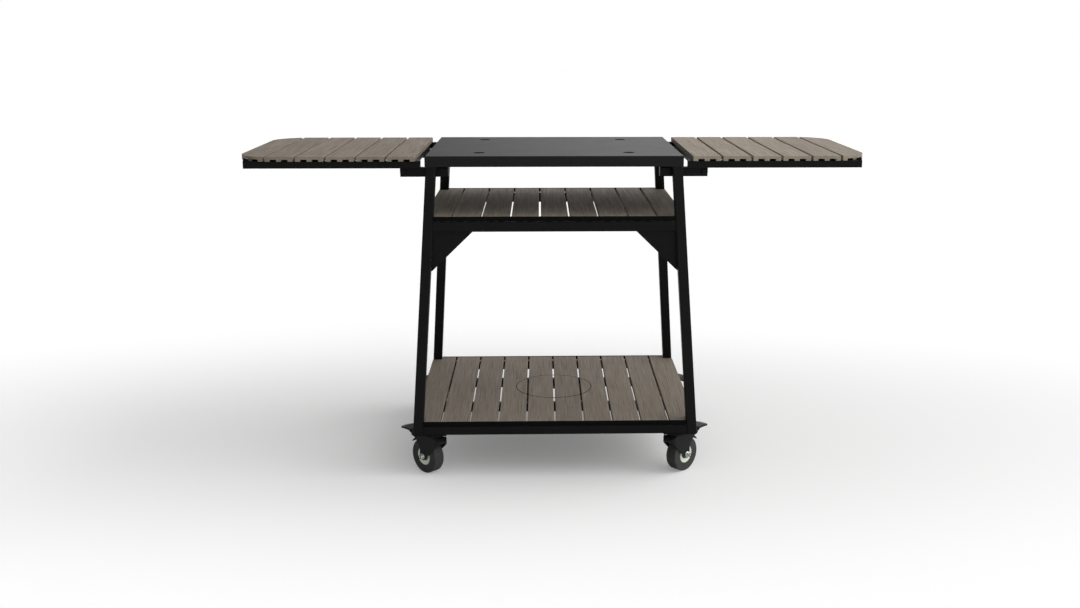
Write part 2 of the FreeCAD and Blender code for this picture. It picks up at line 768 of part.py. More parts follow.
def leaf_ear():
    """The plate under a leaf's rail that turns on the arm's bolt."""
    x = ("pivot_x - ear_width / 2", "pivot_x + ear_width / 2")
    y = ("ear_face", "ear_face + ear_plate")
    plate = block("ear_plate_piece", x, y, ("pivot_z", "leaf_base"))
    place = ("pivot_x", "ear_face + ear_plate", "pivot_z")
    round_end = rod("ear_end", "y", "ear_width / 2", place, "ear_plate")
    place = ("pivot_x", "ear_face + ear_plate + cut_margin", "pivot_z")
    hole = rod("ear_hole", "y", "bolt_size / 2 + running_gap", place, "ear_plate + 2 * cut_margin")
    return cut("ear", fuse("ear_blank", [plate, round_end]), [hole])


def place_caster(item):
    """Move a caster piece to the rear right swivel axis and turn it to where it stands."""
    bind(item, "Placement.Base.x", "swivel_x")
    bind(item, "Placement.Base.y", "swivel_y")
    bind(item, "Placement.Rotation.Angle", "caster_turn")
    return item


def make_caster_plates():
    """Plates under the frame corners, with two bolts each."""
    x = ("base_width / 2 - caster_plate_inset - caster_plate_x", "base_width / 2 - caster_plate_inset")
    y = ("base_depth / 2 - caster_plate_inset - caster_plate_y", "base_depth / 2 - caster_plate_inset")
    plate = block("caster_plate_piece", x, y, ("plate_base", "caster_height - weld_gap"))
    node("caster_plates", group("caster_plate_set", list(at_corners("caster_plate", plate).values())))

    rail_line = f"{leg_y('caster_height')} - frame_tube / 2"
    side_line = f"{leg_x('caster_height')} - frame_tube / 2"
    height = "plate_base - plate_bolt_height"
    radius = "plate_bolt_size / 2"
    first = rod("plate_bolt_a", "z", radius, (f"{x[0]} + {radius}", rail_line, height), "plate_bolt_height")
    place = (side_line, f"{y[0]} + plate_bolt_size", height)
    second = rod("plate_bolt_b", "z", radius, place, "plate_bolt_height")
    pair = group("plate_bolt_pair", [first, second])
    node("caster_plate_bolts", group("plate_bolt_set", list(at_corners("plate_bolt", pair).values())))


def make_fork():
    """The caster's fork with its swivel race, axle and pedal pin."""
    shell = cut("fork", fork_blank(), fork_openings())
    race = turned("race", "XZ", (0, 0, 0), "V_Axis", [
        (0, "crown_top"),
        ("race_size / 2 - race_bevel", "crown_top"),
        ("race_size / 2", "crown_top + race_bevel"),
        ("race_size / 2", "plate_base - fit_gap - race_bevel"),
        ("race_size / 2 - race_bevel", "plate_base - fit_gap"),
        (0, "plate_base - fit_gap"),
    ])
    nut_end = "fork_outside + weld_gap + axle_nut_height"
    dome_end = f"({nut_end} + axle_dome_height)"
    dome_place = ("wheel_trail", dome_end, "wheel_radius")
    shank = rod("axle_shank", "y", "axle_size / 2", dome_place, f"2 * {dome_end}")
    nut_place = ("wheel_trail", nut_end, "wheel_radius")
    nut = hexagon("axle_nut_flats", "axle_nut_size", nut_place, "axle_nut_height")
    dome = rod("axle_dome", "y", "axle_dome_size / 2", dome_place, "axle_dome_height + axle_nut_height / 2")
    cap = fuse("axle_nut", [nut, dome])
    axle = fuse("axle", [shank, cap, mirrored("axle_far_nut", cap, "y")])
    place = ("pedal_pivot_x", "fork_outside", "pedal_pivot_z")
    pin = rod("pedal_pin", "y", "pedal_pin_size / 2", place, "2 * fork_outside")
    four_nodes("caster_fork", place_caster(group("fork_set", [shell, race, axle, pin])))


def fork_blank():
    """The fork before it is hollowed: its side view, cut to a plan with a rounded nose."""
    bend = "fork_end_size / 2 / sqrt(2)"
    leg_back = "wheel_trail + fork_end_size / 2"
    outline = [
        ("-fork_nose", "crown_top - hood_drop"),
        ("-fork_nose", "crown_top - hood_drop - fork_nose_lip"),
        (f"wheel_trail - {bend}", f"wheel_radius - {bend}"),
        (leg_back, "wheel_radius"),
        (leg_back, "wheel_radius + fork_leg_rise"),
        ("pedal_pivot_x - pedal_barrel_size / 2", "pedal_pivot_z - ear_drop"),
        ("ear_back", "pedal_pivot_z - ear_margin"),
        ("ear_back", "crown_top - ear_margin"),
        ("ear_back - ear_margin", "crown_top"),
        ("hood_length - fork_nose", "crown_top"),
    ]
    side = prism("fork_side", "XZ", (0, 0, "-fork_outside"), "2 * fork_outside", outline)
    place = ("wheel_trail", "fork_outside", "wheel_radius")
    end = rod("fork_end", "y", "fork_end_size / 2", place, "2 * fork_outside")
    plan = prism("fork_plan", "XY", (0, 0, 0), "crown_top", [
        ("-fork_nose", "-fork_outside"),
        ("ear_back", "-fork_outside"),
        ("ear_back", "fork_outside"),
        ("-fork_nose", "fork_outside"),
    ])
    round_edges(plan, "fork_nose_round", upright_beyond("fork_nose", -1))
    return common("fork_blank", fuse("fork_profile", [side, end]), plan)


def fork_openings():
    """What is taken from the fork: the room for the wheel and the pedal, and the holes of the pins."""
    front = "-room_nose"
    beyond = "ear_back + cut_margin"
    room = prism("fork_room", "XZ", (0, 0, "-fork_inside"), "2 * fork_inside", [
        (front, "-cut_margin"),
        (beyond, "-cut_margin"),
        (beyond, "crown_base"),
        ("hood_length - fork_nose", "crown_base"),
        (front, "crown_base - hood_slope * (hood_length - fork_plate)"),
    ])
    plan = prism("fork_room_plan", "XY", (0, 0, "-cut_margin"), "crown_top", [
        (front, "-fork_inside"),
        (beyond, "-fork_inside"),
        (beyond, "fork_inside"),
        (front, "fork_inside"),
    ])
    round_edges(plan, "fork_nose_round - fork_plate", upright_beyond("room_nose", -1))
    x = ("pedal_pivot_x - pedal_barrel_size", beyond)
    y = ("-fork_inside", "fork_inside")
    gap = block("fork_pedal_gap", x, y, ("crown_base - ear_margin", "plate_base"))
    start = "fork_outside + cut_margin"
    width = f"2 * ({start})"
    place = ("wheel_trail", start, "wheel_radius")
    axle_hole = rod("axle_hole", "y", "axle_size / 2 + bearing_gap", place, width)
    place = ("pedal_pivot_x", start, "pedal_pivot_z")
    pin_hole = rod("pin_hole", "y", "pedal_pin_size / 2 + bearing_gap", place, width)
    return [common("fork_inside_room", room, plan), gap, axle_hole, pin_hole]


def make_wheel():
    """The wheel: a tyre round a dished hub, and a core with the axle's bore."""
    half = "wheel_width / 2"
    centre = (0, "wheel_radius", "wheel_trail")
    tyre = turned("tyre", "YZ", centre, "H_Axis", [
        (f"-{half}", "rim_radius"),
        (half, "rim_radius"),
        (half, "wheel_radius"),
        (f"-{half}", "wheel_radius"),
    ])
    whole = value("wheel_size") - CLOSE
    round_edges(tyre, "tyre_shoulder", lambda edge: edge.BoundBox.ZLength > whole)
    four_nodes("tyre", place_caster(tyre))

    face = f"({half} - hub_inset)"
    dish = f"({face} - hub_dish)"
    hub = turned("hub", "YZ", centre, "H_Axis", [
        (f"-{dish}", "core_radius"),
        (dish, "core_radius"),
        (face, "rim_radius - weld_gap"),
        (f"-{face}", "rim_radius - weld_gap"),
    ])
    four_nodes("wheel_hub", place_caster(hub))

    bore = "axle_size / 2 + running_gap"
    boss = "pedal_side"
    core = turned("core", "YZ", centre, "H_Axis", [
        (f"-{boss}", bore),
        (boss, bore),
        (boss, "core_cap_size / 2"),
        (dish, "core_radius - weld_gap"),
        (f"-{dish}", "core_radius - weld_gap"),
        (f"-{boss}", "core_cap_size / 2"),
    ])
    four_nodes("wheel_core", place_caster(core))


def make_pedal():
    """The brake pedal: a barrel on the fork's pin, a tread behind the fork and a shoe over the tyre."""
    root = "pedal_pivot_x"
    neck = "pedal_pivot_x + pedal_neck"
    toe = "pedal_reach - pedal_toe"
    under = "pedal_top - pedal_thickness"
    profile = [
        (root, "pedal_pivot_z - pedal_thickness / 2"),
        (neck, f"{under} - pedal_thickness"),
        (f"{neck} + pedal_thickness", under),
        (toe, under),
        ("pedal_reach", f"{under} - pedal_toe_drop"),
        ("pedal_reach", "pedal_top - pedal_toe_drop"),
        (toe, "pedal_top"),
        (neck, "pedal_top"),
        (root, "pedal_pivot_z + pedal_barrel_size / 2"),
    ]
    half = "pedal_width / 2"
    room = "pedal_width / 2 + cut_margin"
    side = prism("pedal_outline", "XZ", (0, 0, f"-({room})"), f"2 * ({room})", profile)
    plan = prism("pedal_plan", "XY", (0, 0, 0), "caster_height", [
        (f"{root} - pedal_barrel_size", "-pedal_side"),
        ("ear_back + cut_margin", "-pedal_side"),
        ("ear_back + cut_margin + pedal_thickness", f"-{half}"),
        (toe, f"-{half}"),
        ("pedal_reach - pedal_toe / 4", f"pedal_toe / 4 - {half}"),
        ("pedal_reach", "-pedal_width / 4"),
        ("pedal_reach", "pedal_width / 4"),
        ("pedal_reach - pedal_toe / 4", f"{half} - pedal_toe / 4"),
        (toe, half),
        ("ear_back + cut_margin + pedal_thickness", half),
        ("ear_back + cut_margin", "pedal_side"),
        (f"{root} - pedal_barrel_size", "pedal_side"),
    ])
    tread = common("pedal_tread", side, plan)
    width = "2 * pedal_side"
    barrel = rod("pedal_barrel", "y", "pedal_barrel_size / 2", (root, "pedal_side", "pedal_pivot_z"), width)
    blank = fuse("pedal_blank", [tread, barrel, *brake_shoe()])
    place = (root, "pedal_side + cut_margin", "pedal_pivot_z")
    hole = rod("pedal_hole", "y", "pedal_pin_size / 2 + running_gap", place, "2 * (pedal_side + cut_margin)")
    four_nodes("brake_pedal", place_caster(cut("pedal", blank, [hole])))


def brake_shoe():
    """The curved shoe behind the tyre, and the web that hangs it from the pedal's barrel."""
    width = "2 * pedal_side"
    place = ("wheel_trail", "pedal_side", "wheel_radius")
    outer = rod("shoe_outer", "y", "wheel_radius + shoe_gap + shoe_thickness", place, width)
    inner = rod("shoe_inner", "y", "wheel_radius + shoe_gap", place, width)
    ring = cut("shoe_ring", outer, [inner])
    x = ("pedal_pivot_x - shoe_back", "wheel_trail + wheel_size")
    y = ("-pedal_side", "pedal_side")
    keep = block("shoe_extent", x, y, ("pedal_pivot_z - shoe_depth", "pedal_pivot_z"))
    shoe = common("shoe", ring, keep)
    x = ("pedal_pivot_x - pedal_barrel_size / 2", "pedal_pivot_x")
    web = block("shoe_web", x, y, ("wheel_radius", "pedal_pivot_z"))
    return [shoe, cut("shoe_web_trimmed", web, [inner])]


def check_and_export():
    """Stop if an object failed or a sub-part isn't sound, then write one file per sub-part."""
    doc.recompute()
    failed = [item.Name for item in doc.Objects if {"Invalid", "Error"} & set(item.State)]
    if failed:
        raise RuntimeError(f"failed objects: {failed}")
    for item in nodes:
        if item.Shape.isNull() or not item.Shape.isValid() or not item.Shape.Solids:
            raise RuntimeError(f"{item.Label} has no sound shape")
    os.makedirs("parts", exist_ok=True)
    for item in nodes:
        item.Shape.exportStep(f"parts/{item.Label}.step")
        box = item.Shape.BoundBox
        print(f"{item.Label}: {len(item.Shape.Solids)} solids, {item.Shape.Volume:.0f} mm3,",
              f"x {box.XMin:.1f} to {box.XMax:.1f}, y {box.YMin:.1f} to {box.YMax:.1f},",
              f"z {box.ZMin:.1f} to {box.ZMax:.1f}")
    print(len(nodes), "sub-parts written")


doc.recompute()
make_table_top()
make_legs()
make_top_side_rails()
make_mid_shelf()
make_gussets()
make_bottom_shelf()
make_arms()
make_leaves()
make_caster_plates()
make_fork()
make_wheel()
make_pedal()
check_and_export()
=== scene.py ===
"""Outdoor pizza oven table: finishes, small fittings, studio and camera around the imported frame.

Lengths are metres unless a name says millimetres. The frame brings the table with its origin on the
floor under the middle, X along the length, Y towards the rear and Z up.
"""

import json
import logging
import math
from collections.abc import Callable
from dataclasses import dataclass
from enum import Enum

import bmesh
import bpy
from mathutils import Matrix, Vector


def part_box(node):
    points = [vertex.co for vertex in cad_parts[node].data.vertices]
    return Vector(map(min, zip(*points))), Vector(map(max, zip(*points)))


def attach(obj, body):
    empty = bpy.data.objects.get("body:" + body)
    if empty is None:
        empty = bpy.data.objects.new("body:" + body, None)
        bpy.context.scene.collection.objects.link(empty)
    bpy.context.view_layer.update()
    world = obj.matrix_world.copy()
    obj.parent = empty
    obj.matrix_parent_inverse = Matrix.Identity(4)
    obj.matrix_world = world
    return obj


LOG = logging.getLogger("oven_table")
MM = 0.001
SMOOTH_ANGLE = math.radians(32)

# Most values of a noise lie between the first and the last of these.
NOISE_LOW = 0.3
NOISE_MIDDLE = 0.5
NOISE_HIGH = 0.7

# Least Z of the normal of a face that looks up.
UPWARD = 0.99

# Radius and height in millimetres of each ring of a turned piece, from its foot on.
Profile = tuple[tuple[float, float], ...]


class Corner(Enum):
    """The four casters, each with the signs of its X and Y."""

    FRONT_LEFT = (-1, -1)
    FRONT_RIGHT = (1, -1)
    REAR_LEFT = (-1, 1)
    REAR_RIGHT = (1, 1)

    @property
    def label(self) -> str:
        """The corner's name as it stands in the names of nodes and bodies."""
        return self.name.lower()


def linear(code: str) -> tuple[float, float, float, float]:
    """Turn an sRGB hex colour into linear RGBA.

    Args:
        code: Colour such as "#8c8072".

    Returns:
        Linear red, green, blue and an alpha of 1.
    """
    channels = [int(code[i:i + 2], 16) / 255 for i in (1, 3, 5)]
    curve = [c / 12.92 if c <= 0.04045 else ((c + 0.055) / 1.055) ** 2.4 for c in channels]
    return (*curve, 1.0)


def add_node(
    tree: bpy.types.NodeTree, kind: str, settings: dict | None = None, **links: object,
) -> bpy.types.Node:
    """Add a node with its settings and its inputs.

    Args:
        tree: Node tree that gets the node.
        kind: Blender's type name of the node.
        settings: Attributes of the node, such as an operation.
        links: Input name, with underscores for spaces, or in0, in1 for a place, to a value or a socket.

    Returns:
        The new node.
    """
    node = tree.nodes.new(kind)
    for name, value in (settings or {}).items():
        setattr(node, name, value)
    for name, value in links.items():
        place = int(name[2:]) if name[:2] == "in" and name[2:].isdigit() else name.replace("_", " ")
        socket = node.inputs[place]
        if isinstance(value, bpy.types.NodeSocket):
            tree.links.new(value, socket)
        else:
            socket.default_value = value
    return node


def ramp(
    tree: bpy.types.NodeTree, factor: bpy.types.NodeSocket, stops: list[tuple[float, str]],
) -> bpy.types.NodeSocket:
    """Turn a factor into colours.

    Args:
        tree: Node tree that gets the ramp.
        factor: Socket that drives the ramp.
        stops: Places from 0 to 1 with their hex colours, at least two.

    Returns:
        The ramp's colour socket.
    """
    node = add_node(tree, "ShaderNodeValToRGB", in0=factor)
    while len(node.color_ramp.elements) < len(stops):
        node.color_ramp.elements.new(0.5)
    for element, (place, code) in zip(node.color_ramp.elements, stops):
        element.position = place
        element.color = linear(code)
    return node.outputs["Color"]


def new_material(name: str) -> tuple[bpy.types.Material, bpy.types.NodeTree, bpy.types.Node]:
    """Start a material.

    Args:
        name: The finish's name.

    Returns:
        The material, its node tree and its principled shader.
    """
    material = bpy.data.materials.new(name)
    material.use_nodes = True
    tree = material.node_tree
    return material, tree, tree.nodes["Principled BSDF"]


def vary_roughness(
    tree: bpy.types.NodeTree, shader: bpy.types.Node, factor: bpy.types.NodeSocket, low: float, high: float,
) -> None:
    """Let a noise change how rough a surface is.

    Args:
        tree: The material's node tree.
        shader: Its principled shader.
        factor: The noise's socket.
        low: Roughness where the noise is low.
        high: Roughness where the noise is high.
    """
    rough = add_node(
        tree, "ShaderNodeMapRange", in0=factor, in1=NOISE_LOW, in2=NOISE_HIGH, in3=low, in4=high,
    )
    tree.links.new(rough.outputs["Result"], shader.inputs["Roughness"])


def emboss(
    tree: bpy.types.NodeTree, shader: bpy.types.Node, height: bpy.types.NodeSocket, strength: float,
    relief_mm: float,
) -> None:
    """Let a noise stand out of a surface.

    Args:
        tree: The material's node tree.
        shader: Its principled shader.
        height: The noise's socket.
        strength: Share of the relief that shows, from 0 to 1.
        relief_mm: Height of the relief in millimetres.
    """
    bump = add_node(tree, "ShaderNodeBump", Strength=strength, Distance=relief_mm * MM, Height=height)
    tree.links.new(bump.outputs["Normal"], shader.inputs["Normal"])


@dataclass(frozen=True)
class PowderCoat:
    """Polyester powder coat on steel: an even film with a fine orange peel that softens highlights."""

    name: str = "powder_coat_black"
    colour: str = "#0b0b0b"
    worn: str = "#111110"
    roughness: float = 0.42
    gloss: float = 0.11
    unevenness: float = 0.045
    peel_mm: float = 1.1
    peel_detail: float = 2.0
    peel_strength: float = 0.12
    peel_height_mm: float = 0.15
    cloud_mm: float = 90.0
    cloud_detail: float = 4.0
    worn_from: float = 0.35
    worn_full: float = 0.75

    def make(self) -> bpy.types.Material:
        """Build the material.

        Returns:
            The finished material.
        """
        material, tree, shader = new_material(self.name)
        place = add_node(tree, "ShaderNodeTexCoord").outputs["Object"]
        peel = add_node(
            tree, "ShaderNodeTexNoise", Vector=place, Scale=1 / (self.peel_mm * MM), Detail=self.peel_detail,
        ).outputs["Fac"]
        cloud = add_node(
            tree, "ShaderNodeTexNoise", Vector=place, Scale=1 / (self.cloud_mm * MM),
            Detail=self.cloud_detail,
        ).outputs["Fac"]
        tint = ramp(tree, cloud, [(self.worn_from, self.colour), (self.worn_full, self.worn)])
        tree.links.new(tint, shader.inputs["Base Color"])
        low, high = self.roughness - self.unevenness, self.roughness + self.unevenness
        vary_roughness(tree, shader, cloud, low, high)
        shader.inputs["Specular IOR Level"].default_value = self.gloss
        emboss(tree, shader, peel, self.peel_strength, self.peel_height_mm)
        return material


@dataclass(frozen=True)
class CompositeBoard:
    """Wood and plastic composite, extruded and brushed: straight streaks along Y, each board its own tone."""

    name: str
    pitch: float
    first_edge: float
    mirrored: bool = False
    light: str = "#8f8475"
    middle: str = "#7c7265"
    dark: str = "#645a4f"
    # Painted light and shade: the whole set's brightness, raised or lowered for how lit it looks.
    level: float = 1.0
    tone_spread: float = 0.13
    # Width, length and detail of each kind of grain.
    streak_mm: tuple[float, float] = (2.2, 150.0)
    streak_detail: float = 6.0
    pore_mm: tuple[float, float] = (1.7, 16.0)
    pore_detail: float = 3.0
    blotch_mm: tuple[float, float] = (55.0, 170.0)
    blotch_detail: float = 2.0
    blotch_spread: float = 0.07
    grain_roughness: float = 0.6
    # A pore is darkest up to the first place of its noise, and gone from the second on.
    pore_places: tuple[float, float] = (0.31, 0.43)
    pore_tone: float = 0.62
    # The grain slides along by up to this much from board to board.
    board_slide: float = 3.0
    dull: float = 0.78
    polished: float = 0.6
    relief_strength: float = 0.35
    relief_mm: float = 0.4

    def make(self) -> bpy.types.Material:
        """Build the material.

        Returns:
            The finished material.
        """
        material, tree, shader = new_material(self.name)
        place = add_node(tree, "ShaderNodeTexCoord").outputs["Object"]
        parts = add_node(tree, "ShaderNodeSeparateXYZ", Vector=place)
        chance = self._board_chance(tree, parts.outputs["X"])
        slide = add_node(
            tree, "ShaderNodeMath", {"operation": "MULTIPLY"}, in0=chance, in1=self.board_slide,
        )
        along = add_node(
            tree, "ShaderNodeMath", {"operation": "ADD"}, in0=parts.outputs["Y"], in1=slide.outputs[0],
        )
        moved = add_node(
            tree, "ShaderNodeCombineXYZ", X=parts.outputs["X"], Y=along.outputs[0], Z=parts.outputs["Z"],
        ).outputs[0]
        streak = self._grain(tree, moved, self.streak_mm, self.streak_detail)
        pore = self._grain(tree, moved, self.pore_mm, self.pore_detail)
        blotch = self._grain(tree, moved, self.blotch_mm, self.blotch_detail)

        stops = [(NOISE_LOW, self.dark), (NOISE_MIDDLE, self.middle), (NOISE_HIGH, self.light)]
        tone = ramp(tree, streak, stops)
        strength = self._strength(tree, chance, pore, blotch)
        colour = add_node(
            tree, "ShaderNodeVectorMath", {"operation": "SCALE"}, in0=tone, Scale=strength,
        )
        tree.links.new(colour.outputs[0], shader.inputs["Base Color"])
        vary_roughness(tree, shader, streak, self.dull, self.polished)
        both = add_node(tree, "ShaderNodeMath", {"operation": "ADD"}, in0=streak, in1=pore)
        emboss(tree, shader, both.outputs[0], self.relief_strength, self.relief_mm)
        return material

    def _board_chance(
        self, tree: bpy.types.NodeTree, across: bpy.types.NodeSocket,
    ) -> bpy.types.NodeSocket:
        """Give each board of the row a number of its own.

        Args:
            tree: The material's node tree.
            across: Socket with the place along X.

        Returns:
            Socket with a number from 0 to 1 that changes from board to board.
        """
        if self.mirrored:
            across = add_node(
                tree, "ShaderNodeMath", {"operation": "MULTIPLY"}, in0=across, in1=-1.0,
            ).outputs[0]
        shifted = add_node(
            tree, "ShaderNodeMath", {"operation": "SUBTRACT"}, in0=across, in1=self.first_edge,
        )
        counted = add_node(
            tree, "ShaderNodeMath", {"operation": "DIVIDE"}, in0=shifted.outputs[0], in1=self.pitch,
        )
        board = add_node(tree, "ShaderNodeMath", {"operation": "FLOOR"}, in0=counted.outputs[0])
        chance = add_node(
            tree, "ShaderNodeTexWhiteNoise", {"noise_dimensions": "1D"}, W=board.outputs[0],
        )
        return chance.outputs["Value"]

    def _grain(
        self, tree: bpy.types.NodeTree, place: bpy.types.NodeSocket, size_mm: tuple[float, float],
        detail: float,
    ) -> bpy.types.NodeSocket:
        """Add noise that is drawn out along Y.

        Args:
            tree: The material's node tree.
            place: Socket with the place on the board.
            size_mm: Width and length of the grain in millimetres.
            detail: How finely the noise divides.

        Returns:
            The noise's socket.
        """
        width, length = size_mm
        scale = (1 / (width * MM), 1 / (length * MM), 1 / (width * MM))
        mapped = add_node(tree, "ShaderNodeMapping", Vector=place, Scale=scale)
        noise = add_node(
            tree, "ShaderNodeTexNoise", Vector=mapped.outputs[0], Scale=1.0, Detail=detail,
            Roughness=self.grain_roughness,
        )
        return noise.outputs["Fac"]

    def _strength(
        self, tree: bpy.types.NodeTree, chance: bpy.types.NodeSocket, pore: bpy.types.NodeSocket,
        blotch: bpy.types.NodeSocket,
    ) -> bpy.types.NodeSocket:
        """Work out how strongly the streaks' colour shows at a place.

        Args:
            tree: The material's node tree.
            chance: Socket with the board's own number.
            pore: Noise of the pores.
            blotch: Noise of the blotches.

        Returns:
            Socket with the strength.
        """
        pore_from, pore_to = self.pore_places
        fleck = add_node(
            tree, "ShaderNodeMapRange", in0=pore, in1=pore_from, in2=pore_to, in3=self.pore_tone, in4=1.0,
        )
        patch = add_node(
            tree, "ShaderNodeMapRange", in0=blotch, in1=NOISE_LOW, in2=NOISE_HIGH,
            in3=1.0 - self.blotch_spread, in4=1.0 + self.blotch_spread,
        )
        # Painted light and shade: the set's level scales the colour.
        level = add_node(
            tree, "ShaderNodeMapRange", in0=chance,
            in3=self.level * (1.0 - self.tone_spread / 2), in4=self.level * (1.0 + self.tone_spread / 2),
        )
        worn = add_node(
            tree, "ShaderNodeMath", {"operation": "MULTIPLY"}, in0=fleck.outputs[0], in1=patch.outputs[0],
        )
        strength = add_node(
            tree, "ShaderNodeMath", {"operation": "MULTIPLY"}, in0=worn.outputs[0], in1=level.outputs[0],
        )
        return strength.outputs[0]


@dataclass(frozen=True)
class Moulded:
    """Injection-moulded plastic or rubber: a plain colour with a fine grain from the mould."""

    name: str
    colour: str
    shade: str
    roughness: float
    grain_mm: float
    grain_detail: float = 2.0
    relief_mm: float = 0.05
    relief_strength: float = 0.25
    cloud_mm: float = 18.0
    cloud_detail: float = 4.0
    shade_place: float = 0.35
    smoother: float = 0.05
    rougher: float = 0.06
    gloss: float = 0.5

    def make(self) -> bpy.types.Material:
        """Build the material.

        Returns:
            The finished material.
        """
        material, tree, shader = new_material(self.name)
        place = add_node(tree, "ShaderNodeTexCoord").outputs["Object"]
        cloud = add_node(
            tree, "ShaderNodeTexNoise", Vector=place, Scale=1 / (self.cloud_mm * MM),
            Detail=self.cloud_detail,
        ).outputs["Fac"]
        grain = add_node(
            tree, "ShaderNodeTexNoise", Vector=place, Scale=1 / (self.grain_mm * MM),
            Detail=self.grain_detail,
        ).outputs["Fac"]
        tint = ramp(tree, cloud, [(self.shade_place, self.shade), (NOISE_HIGH, self.colour)])
        tree.links.new(tint, shader.inputs["Base Color"])
        shader.inputs["Specular IOR Level"].default_value = self.gloss
        low, high = self.roughness - self.smoother, self.roughness + self.rougher
        vary_roughness(tree, shader, cloud, low, high)
        emboss(tree, shader, grain, self.relief_strength, self.relief_mm)
        return material


@dataclass(frozen=True)
class ZincSteel:
    """Zinc-plated steel: a bright grey metal with a faintly mottled crystal finish."""

    name: str = "zinc_plated_steel"
    colour: str = "#c9c9c4"
    shade: str = "#a5a6a3"
    roughness: float = 0.3
    smoother: float = 0.06
    rougher: float = 0.1
    mottle_mm: float = 2.5
    mottle_detail: float = 3.0

    def make(self) -> bpy.types.Material:
        """Build the material.

        Returns:
            The finished material.
        """
        material, tree, shader = new_material(self.name)
        place = add_node(tree, "ShaderNodeTexCoord").outputs["Object"]
        mottle = add_node(
            tree, "ShaderNodeTexNoise", Vector=place, Scale=1 / (self.mottle_mm * MM),
            Detail=self.mottle_detail,
        ).outputs["Fac"]
        tint = ramp(tree, mottle, [(NOISE_LOW, self.shade), (NOISE_HIGH, self.colour)])
        tree.links.new(tint, shader.inputs["Base Color"])
        shader.inputs["Metallic"].default_value = 1.0
        low, high = self.roughness - self.smoother, self.roughness + self.rougher
        vary_roughness(tree, shader, mottle, low, high)
        return material


def dress(node: str, material: bpy.types.Material) -> None:
    """Give a CAD node a finish.

    Args:
        node: The node's name.
        material: The finish for all of it.
    """
    for slot in FRAME["nodes"][node].material_slots:
        slot.material = material
    LOG.info("dressed %s in %s", node, material.name)


def select_faces(wanted: Callable[[bmesh.types.BMFace], bool]) -> None:
    """Select only some faces of the mesh in edit mode.

    Args:
        wanted: Test that says whether a face is selected.
    """
    mesh = bmesh.from_edit_mesh(bpy.context.active_object.data)
    for item in (*mesh.verts, *mesh.edges):
        item.select_set(False)
    for face in mesh.faces:
        face.select_set(wanted(face))
    bmesh.update_edit_mesh(bpy.context.active_object.data)


def widen(scale: float, height: float) -> None:
    """Scale the selected ring about the Z axis at a height."""
    bpy.ops.transform.resize(value=(scale, scale, 1), center_override=(0, 0, height))


def turned_piece(name: str, sides: int, profile: Profile) -> bpy.types.Object:
    """Model a piece that stands up along Z from a disc, extruded ring by ring.

    Args:
        name: The piece's name.
        sides: Number of sides all round.
        profile: The piece's rings, at least two.

    Returns:
        The piece, out of edit mode.
    """
    rings = [(radius * MM, height * MM) for radius, height in profile]
    bpy.ops.object.select_all(action="DESELECT")
    (radius, height), (new_radius, new_height) = rings[:2]
    depth = new_height - height
    bpy.ops.mesh.primitive_cylinder_add(
        vertices=sides, radius=radius, depth=depth, location=(0, 0, height + depth / 2), end_fill_type="NGON",
    )
    piece = bpy.context.active_object
    piece.name = name
    bpy.ops.object.transform_apply(location=True, rotation=True, scale=True)
    bpy.ops.object.mode_set(mode="EDIT")
    select_faces(lambda face: face.normal.z > UPWARD)
    widen(new_radius / radius, new_height)
    for (radius, height), (new_radius, new_height) in zip(rings[1:], rings[2:]):
        bpy.ops.mesh.extrude_region_move(TRANSFORM_OT_translate={"value": (0, 0, new_height - height)})
        widen(new_radius / radius, new_height)
    bpy.ops.object.mode_set(mode="OBJECT")
    return piece


def join(name: str, pieces: list[bpy.types.Object]) -> bpy.types.Object:
    """Join pieces into the first one and name it.

    Args:
        name: Name of the joined piece.
        pieces: Pieces to join, at least one.

    Returns:
        The joined piece.
    """
    bpy.ops.object.select_all(action="DESELECT")
    for piece in pieces:
        piece.select_set(True)
    bpy.context.view_layer.objects.active = pieces[0]
    bpy.ops.object.join()
    pieces[0].name = name
    return pieces[0]


def copy_to(pattern: bpy.types.Object, name: str, place: Matrix) -> bpy.types.Object:
    """Copy a piece with its own mesh, and leave the copy's object at the origin.

    Args:
        pattern: The piece to copy.
        name: The copy's name.
        place: The copy's place, which goes into its mesh.

    Returns:
        The copy.
    """
    twin = pattern.copy()
    twin.data = pattern.data.copy()
    twin.name = name
    bpy.context.scene.collection.objects.link(twin)
    twin.data.transform(place)
    return twin


def hand_over(piece: bpy.types.Object, material: bpy.types.Material, body: str) -> None:
    """Smooth a new piece, give it its finish, and set it on its body.

    Args:
        piece: The new piece.
        material: Its finish.
        body: Name of the body that carries it.
    """
    bpy.ops.object.select_all(action="DESELECT")
    piece.select_set(True)
    bpy.context.view_layer.objects.active = piece
    bpy.ops.object.shade_smooth_by_angle(angle=SMOOTH_ANGLE)
    piece.data.materials.clear()
    piece.data.materials.append(material)
    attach(piece, body)
    LOG.info("made %s in %s on %s", piece.name, material.name, body)


@dataclass(frozen=True)
class SoftLamp:
    """A wide, far lamp: its strength, how many degrees wide it looks, and where it shines from."""

    name: str
    power: float
    width: float
    place: tuple[float, float, float]

    def build(self) -> None:
        """Add the lamp."""
        data = bpy.data.lights.new(self.name, "SUN")
        data.energy = self.power
        data.angle = math.radians(self.width)
        lamp = bpy.data.objects.new(self.name, data)
        lamp.rotation_euler = Vector(self.place).to_track_quat("Z", "Y").to_euler()
        bpy.context.scene.collection.objects.link(lamp)


